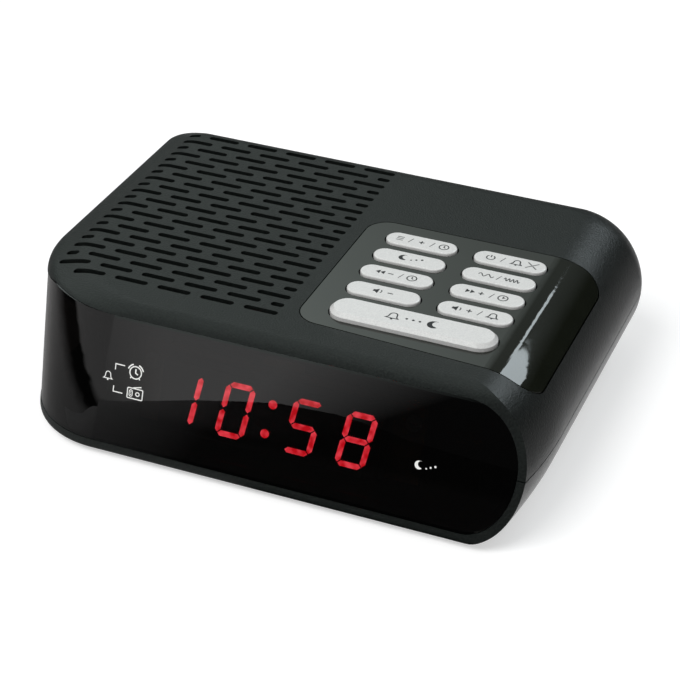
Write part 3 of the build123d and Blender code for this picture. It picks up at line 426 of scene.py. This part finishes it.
def cross():
    """A cross in three pieces that only touch."""
    stubs = stroke([(-1.3, 1.3), (-0.15, 0.15)], 0.26) + stroke([(0.15, -0.15), (1.3, -1.3)], 0.26)
    return stroke([(-1.3, -1.3), (1.3, 1.3)], 0.26) + stubs


print("power sign", len(power()), "waves", len(wave_train(3.6, 2)), "cross", len(cross()), "faces")

# %% [markdown]
# ## What each key says
# A key's signs stand in a row with their middles at the given places. The snooze key says that
# the bell comes back after a while of sleep. The others pair a function with the time that the
# same key sets, and a slash parts the two.

# %% Signs of the keys
def row(*signs):
    """Signs in a row, each given with its x."""
    return [shape for x, sign in signs for shape in moved(sign, x)]


spot = disc(0, 0, 0.3)
key_signs = {
    "snooze": row((-4.6, moved(bell(0.26), 0, 0, 1.15)), (-1.5, spot), (0, spot), (1.5, spot),
                  (4.6, moved(moon(), 0, 0, 1.25))),
    "volume_down": row((-1.3, loudspeaker()), (1.6, minus())),
    "tune_down": row((-3.9, arrows(-1)), (-1.4, minus()), (1.0, slash()), (3.6, clock())),
    "sleep": row((-1.4, moon()), (0, rising_dots())),
    "preset": row((-5.2, list_lines()), (-2.6, slash()), (0, plus()), (2.6, slash()), (5.4, clock())),
    "volume_up": row((-4.2, loudspeaker()), (-1.4, plus()), (1.0, slash()), (4.0, bell())),
    "tune_up": row((-3.9, arrows(1)), (-1.4, plus()), (1.0, slash()), (3.6, clock((0.5, 0.25)))),
    "band": row((-3.0, wave_train(3.6, 2)), (0, slash()), (3.0, wave_train(3.6, 4))),
    "power": row((-4.6, power()), (-1.7, slash()), (1.6, bell()), (5.2, cross())),
}
print({key: len(shapes) for key, shapes in key_signs.items()}, "shapes")

# %% [markdown]
# ## Printing
# Every corner of a sign is dropped along the printing direction until it meets the part, so that
# the film follows the surface, and a Solidify modifier gives it its thickness. Each print rides
# on the body that its part belongs to, so it goes down with its key. The dark ink on the keys is
# pad-printed and dries half matt. The white on the lens is screen-printed, thicker and opaque.

# %% Inks
pad_ink = made_of("pad_printing_ink_grey", "#1f2022", "#2b2c2e", 0.4, 0.5)
screen_ink = made_of("screen_printing_ink_white", "#ecece9", "#f8f8f5", 0.4, 0.5)
ink_thickness = 0.02 * mm
ink_lift = 0.004 * mm    # so that ink and part don't share a face
print(pad_ink.name, "and", screen_ink.name, ink_thickness / mm, "mm thick")


# %% Print a sign on a part
drop = 5    # mm from where a corner starts down to the part


def printed(name, shapes, node_name, origin, across, up, ink, body):
    """Drops flat shapes, drawn in mm about an origin, onto a node along the plane's normal."""
    source = nodes[node_name].data
    part = BVHTree.FromPolygons([v.co for v in source.vertices], [p.vertices for p in source.polygons])
    inward = -across.cross(up)
    start = origin - inward * drop * mm
    film = bmesh.new()
    for shape in shapes:
        corners = []
        for x, y in shape:
            hit, normal = part.ray_cast(start + (across * x + up * y) * mm, inward)[:2]
            corners.append(film.verts.new(hit + normal * ink_lift))
        film.faces.new(corners)
    bmesh.ops.remove_doubles(film, verts=film.verts, dist=0.001 * mm)
    mesh = bpy.data.meshes.new(name)
    film.to_mesh(mesh)
    film.free()
    mesh.materials.append(ink)
    piece = bpy.data.objects.new(name, mesh)
    bpy.context.scene.collection.objects.link(piece)
    thickness = piece.modifiers.new("ink_thickness", "SOLIDIFY")
    thickness.thickness, thickness.offset = ink_thickness, 1.0
    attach(piece, body)
    print(name, "of", len(mesh.polygons), "faces rides on", body)


# %% Print the keys
x_axis, y_axis = Vector((1, 0, 0)), Vector((0, 1, 0))
key_sign_scale = 1.2
for key, shapes in key_signs.items():
    body = f"key_{key}"
    low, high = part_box(body)
    middle = Vector(((low.x + high.x) / 2, (low.y + high.y) / 2, high.z))
    larger = moved(shapes, 0, 0, key_sign_scale)
    printed(f"print_{key}", larger, body, middle, x_axis, y_axis, pad_ink, body)

# %% [markdown]
# ## Signs on the lens
# On the left, two brackets tie a bell to an alarm clock and to a radio: the two ways to be woken.
# On the right a small moon marks the sleep timer. They lie on the sloping front, which leans back
# by 17 degrees, so they are drawn in its plane: across is along the front, up is up its slope.

# %% Radio and alarm clock
def radio():
    """A small radio: case, loudspeaker, dial and aerial."""
    rounds = ((1.9, 1.05, 0), (-1.9, 1.05, 90), (-1.9, -1.15, 180), (1.9, -1.15, 270))
    case = [point for x, y, start in rounds for point in arc(x, y, 0.3, start, start + 90, 4)]
    speaker = [*arc(-1.2, 0.4, 0.45, 0, 180, 8), *arc(-1.2, -0.5, 0.45, 180, 360, 8)]
    grille = [shape for y in (-0.5, -0.05, 0.4) for shape in stroke([(-1.4, y), (-1.0, y)], 0.2)]
    front = stroke(case, 0.3, closed=True) + stroke(speaker, 0.22, closed=True) + grille
    return front + ring(0.75, -0.05, 0.5) + stroke([(-0.8, 1.45), (1.7, 2.1)], 0.3)


def alarm_clock():
    """A round clock with two bells and two feet."""
    spans = ((18, 70), (110, 162))
    caps = [arc(0, 0, 2.35, start, end, 8) + arc(0, 0, 2.0, end, start, 8) for start, end in spans]
    feet = stroke([(-1.05, -1.25), (-1.3, -1.7)]) + stroke([(1.05, -1.25), (1.3, -1.7)])
    hands = stroke([(0, 0.95), (0, -0.1), (0.7, -0.45)], 0.34)
    return ring(0, 0, 1.6, 0.32) + caps + feet + hands


print("radio", len(radio()), "alarm clock", len(alarm_clock()), "faces")

# %% Print the lens
lean = math.radians(17.0)
up_slope = Vector((0, math.sin(lean), math.cos(lean)))
lens_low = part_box("display_lens")[0]
slope_foot = Vector((0, lens_low.y, lens_low.z))
bracket_middle = 0.9
bracket_corners = [(-0.1, 2.2), (-0.1, 3.8), (2.6, 3.8)]    # the upper one, from the middle
brackets = [
    shape for turn in (1, -1)
    for shape in stroke([(x, bracket_middle + rise * turn) for x, rise in bracket_corners])
]
lens_signs = {    # each with its x along the front and its rise up the slope, in mm
    "print_bell": (bell(0.24), -42.2, 18.6),
    "print_brackets": (brackets, -40.2, 17.5),
    "print_alarm_clock": (moved(alarm_clock(), 0, 0, 1.05), -34.4, 21.0),
    "print_radio": (radio(), -34.0, 15.3),
    "print_moon": (row((-1.4, moon()), (0, rising_dots())), 46.8, 15.1),
}
for name, (shapes, x, rise) in lens_signs.items():
    middle = slope_foot + x_axis * x * mm + up_slope * rise * mm
    printed(name, shapes, "display_lens", middle, x_axis, up_slope, screen_ink, "case")

# %% [markdown]
# ## The room, as light and as a picture
# The room is white. It fills the shadows softly and evenly, at a level at which a colour comes
# out as it is written. What a glossy part shows is a second picture, and a studio builds it with
# white and black boards: here a wide window at the left that ends before the middle of the front,
# a lower band of window behind, and a bright ceiling. Only glossy rays see that picture. It is
# drawn over directions of length 1, whose X runs to the right, Y to the back and Z up.

# %% Room
world = bpy.data.worlds.new("white_room")
bpy.context.scene.world = world
world.use_nodes = True
tree = world.node_tree
tree.nodes.clear()
ray = add(tree, "ShaderNodeLightPath").outputs
heading = add(tree, "ShaderNodeTexCoord").outputs["Generated"]


def front_window(tree, way):
    """Brightness of the window in front: nearly none past its right edge, less at its left end."""
    edge = {"Value": way["X"], "From Min": -0.325, "From Max": -0.235, "To Min": 1.0, "To Max": 0.04}
    far_end = {"Value": way["X"], "From Min": -0.44, "From Max": -0.39, "To Min": 0.6, "To Max": 1.0}
    parts = {0: add(tree, "ShaderNodeMapRange", edge), 1: add(tree, "ShaderNodeMapRange", far_end)}
    return add(tree, "ShaderNodeMath", parts, operation="MULTIPLY")


way = add(tree, "ShaderNodeSeparateXYZ", {"Vector": heading}).outputs
rear_edge = {"Value": way["X"], "From Min": -0.36, "From Max": -0.12, "To Min": 1.12, "To Max": 0.16}
band_height = 0.57
above_band = add(tree, "ShaderNodeMath", {0: way["Z"], 1: band_height}, operation="SUBTRACT")
off_band = add(tree, "ShaderNodeMath", {0: above_band}, operation="ABSOLUTE")
band = {"Value": off_band, "From Min": 0.03, "From Max": 0.2, "To Min": 1.25, "To Max": 0.1}
rear_parts = {0: add(tree, "ShaderNodeMapRange", rear_edge), 1: add(tree, "ShaderNodeMapRange", band)}
rear_window = add(tree, "ShaderNodeMath", rear_parts, operation="MULTIPLY")
is_behind = add(tree, "ShaderNodeMapRange", {"Value": way["Y"], "From Min": -0.2, "From Max": 0.2})
walls = add(tree, "ShaderNodeMix", {0: is_behind, 2: front_window(tree, way), 3: rear_window})
overhead = {"Value": way["Z"], "From Min": 0.65, "From Max": 0.9, "To Max": 0.8}
ceiling = add(tree, "ShaderNodeMapRange", overhead)
picture = add(tree, "ShaderNodeMath", {0: walls, 1: ceiling}, operation="MAXIMUM")
print("room picture drawn")

# %% White for the camera, even fill for matt parts, the picture for glossy ones
fill_level = 0.42
window_tint = "#f2fffb"    # daylight through window glass, a little green
fill = add(tree, "ShaderNodeMix", {0: ray["Is Glossy Ray"], 2: fill_level, 3: picture})
strength = add(tree, "ShaderNodeMix", {0: ray["Is Camera Ray"], 2: fill, 3: 1.0})
cast = {0: ray["Is Glossy Ray"], 6: linear("#ffffff"), 7: linear(window_tint)}
colour = add(tree, "ShaderNodeMix", cast, data_type="RGBA")
background = add(tree, "ShaderNodeBackground", {"Color": colour, "Strength": strength})
add(tree, "ShaderNodeOutputWorld", {"Surface": background})
print("room with", len(tree.nodes), "nodes")

# %% [markdown]
# ## Floor
# The radio stands on pale board that reaches far past the view, and keeps a soft shadow. For
# glossy rays the board glows with a painted picture of light that continues the room's: painted
# light under the window, painted shade beside the radio's left corner, and painted light again in
# a strip along its right side. For the camera it also glows by itself, so that it shows white with
# no more light on the radio.

# %% Floor
def flat_sheet(name, corners, height, material):
    """A flat stage sheet through corners given in metres."""
    mesh = bpy.data.meshes.new(name)
    mesh.from_pydata([(x, y, height) for x, y in corners], [], [range(len(corners))])
    mesh.materials.append(material)
    sheet = bpy.data.objects.new(name, mesh)
    bpy.context.scene.collection.objects.link(sheet)
    return sheet


board, tree, place = new_material("pale_board")
ray = add(tree, "ShaderNodeLightPath").outputs
where = add(tree, "ShaderNodeSeparateXYZ", {"Vector": place}).outputs
heading = add(tree, "ShaderNodeVectorMath", {0: place}, operation="NORMALIZE")
way = add(tree, "ShaderNodeSeparateXYZ", {"Vector": heading}).outputs
# Painted light and shade for glossy rays: the board's own glow, bright under the window, dark beside the
# radio, bright in a strip to its right.
slant = 0.36    # how far the dark part's edge moves left for each metre back
slanted = add(tree, "ShaderNodeMath", {0: where["Y"], 1: slant, 2: where["X"]}, operation="MULTIPLY_ADD")
near = add(tree, "ShaderNodeMapRange", {"Value": where["Y"], "From Min": -0.36, "From Max": -0.28})
past_edge = add(tree, "ShaderNodeMapRange", {"Value": slanted, "From Min": -0.38, "From Max": -0.34})
beside = add(tree, "ShaderNodeMath", {0: past_edge, 1: near}, operation="MULTIPLY")
shade = add(tree, "ShaderNodeMapRange", {"Value": beside, "To Min": 1.0, "To Max": 0.03})
left_light = add(tree, "ShaderNodeMath", {0: front_window(tree, way), 1: shade}, operation="MULTIPLY")
at_foot = {"Value": slanted, "From Min": -0.24, "From Max": -0.17, "To Max": 0.35}
foot_parts = {0: add(tree, "ShaderNodeMapRange", at_foot), 1: near}
foot_light = add(tree, "ShaderNodeMath", foot_parts, operation="MULTIPLY")
to_right = add(tree, "ShaderNodeMapRange", {"Value": way["X"], "From Min": 0.2, "From Max": 0.5})
strip = {"Value": where["X"], "From Min": 0.08, "From Max": 0.11, "To Min": 1.2, "To Max": 0.1}
right_parts = {0: to_right, 1: add(tree, "ShaderNodeMapRange", strip)}
right_light = add(tree, "ShaderNodeMath", right_parts, operation="MULTIPLY")
brighter = add(tree, "ShaderNodeMath", {0: left_light, 1: foot_light}, operation="MAXIMUM")
picture = add(tree, "ShaderNodeMath", {0: brighter, 1: right_light}, operation="MAXIMUM")
print("floor picture drawn")

# %% The board itself
# Glossy rays see no lit board, only its painted glow of light and shade.
tone = {0: ray["Is Glossy Ray"], 6: linear("#d1d1d1"), 7: linear("#000000")}
glow_to_camera = 0.5
lift = add(tree, "ShaderNodeMath", {0: ray["Is Camera Ray"], 1: glow_to_camera}, operation="MULTIPLY")
shader = add(tree, "ShaderNodeBsdfPrincipled", {
    "Base Color": add(tree, "ShaderNodeMix", tone, data_type="RGBA"),
    "Roughness": 0.95,
    "Specular IOR Level": 0.0,
    "Emission Color": linear("#ffffff"),
    "Emission Strength": add(tree, "ShaderNodeMix", {0: ray["Is Glossy Ray"], 2: lift, 3: picture}),
})
add(tree, "ShaderNodeOutputMaterial", {"Surface": shader})
reach = 4.0
below_feet = -0.02 * mm    # so that feet and floor don't share a face
floor_corners = [(-reach, -reach), (reach, -reach), (reach, reach), (-reach, reach)]
flat_sheet("floor", floor_corners, below_feet, board)
print("floor", 2 * reach, "m wide")

# %% [markdown]
# ## A dark cloth before the radio
# A glossy front is dull if it mirrors one even tone. So a dark cloth is laid before it, and the
# front shows a bright field with a clean curved edge, and black below. The cloth is a thin sheet
# that only glossy rays see, a painted dark reflection. Its grey to the left is painted light, where the
# window would light it.

# %% Dark cloth
cloth, tree, place = new_material("black_cloth")
where = add(tree, "ShaderNodeSeparateXYZ", {"Vector": place}).outputs
slant = -0.35    # the grey gives way to black along a line that runs to the front left
slanted = add(tree, "ShaderNodeMath", {0: where["Y"], 1: slant, 2: where["X"]}, operation="MULTIPLY_ADD")
share = add(tree, "ShaderNodeMapRange", {"Value": slanted, "From Min": -0.06, "From Max": 0.0})
# Painted light: grey to the left, where the window would light the cloth, black to the right.
tones = {0: share, 6: linear("#aaaaaa"), 7: linear("#272727")}
shader = add(tree, "ShaderNodeBsdfPrincipled", {
    "Base Color": add(tree, "ShaderNodeMix", tones, data_type="RGBA"),
    "Roughness": 1.0,
    "Specular IOR Level": 0.0,
})
add(tree, "ShaderNodeOutputMaterial", {"Surface": shader})
cloth_outline = [
    (-0.10, -0.075), (-0.15, -0.22), (-0.17, -0.36), (-0.21, -0.54), (-0.24, -0.70),
    (-0.255, -0.80), (-0.235, -0.86), (-0.19, -0.80), (-0.14, -0.71), (-0.09, -0.66),
    (0.0, -0.62), (0.3, -0.60), (0.3, -0.075),
    (0.08, -0.075), (0.07, -0.055), (0.005, -0.055), (-0.015, -0.075),
]
front_cloth = flat_sheet("front_cloth", cloth_outline, 0.4 * mm, cloth)
front_cloth.visible_camera = front_cloth.visible_diffuse = False
front_cloth.visible_shadow = front_cloth.visible_transmission = False
print("cloth with", len(cloth_outline), "corners")

# %% [markdown]
# ## Lamps
# A large softbox at the front left gives the light and the soft shadow. It is hidden from glossy
# rays, because it would wash the key panel out. Behind the radio a tall softbox and a short strip
# beside it draw the long thin highlight that widens towards the front on the panel's rounded end.
# A lamp's power is worked out from how bright its face is, so its size can change freely.

# %% Lamps
def softbox(name, place, facing, width, height, brightness, colour, turn=0.0):
    """A rectangular lamp at a place, facing a point, whose face is as bright as said."""
    lamp = bpy.data.lights.new(name, "AREA")
    lamp.shape, lamp.size, lamp.size_y = "RECTANGLE", width, height
    lamp.energy = brightness * math.pi * width * height
    lamp.color = linear(colour)[:3]
    away = Vector(place) - Vector(facing)
    turned = away.to_track_quat("Z", "Y").to_matrix() @ Matrix.Rotation(math.radians(turn), 3, "Z")
    lamp_object = bpy.data.objects.new(name, lamp)
    lamp_object.matrix_world = Matrix.Translation(place) @ turned.to_4x4()
    bpy.context.scene.collection.objects.link(lamp_object)
    print(name, round(lamp.energy, 2), "W")
    return lamp_object


key_softbox = softbox(
    "key_softbox", (-0.40, -0.85, 1.35), aim, width=0.9, height=0.9, brightness=6.8, colour="#ffffff"
)
key_softbox.visible_glossy = False
rear_light = {"brightness": 5.2, "colour": "#eefaff"}
softbox(
    "rear_softbox", (0.55, 1.2, 1.29), (0.55, 0.0, 1.29), width=0.6, height=0.95, turn=14.5, **rear_light
)
softbox("rear_strip", (0.135, 1.2, 0.87), (0.135, 0.0, 0.87), width=0.06, height=0.11, **rear_light)
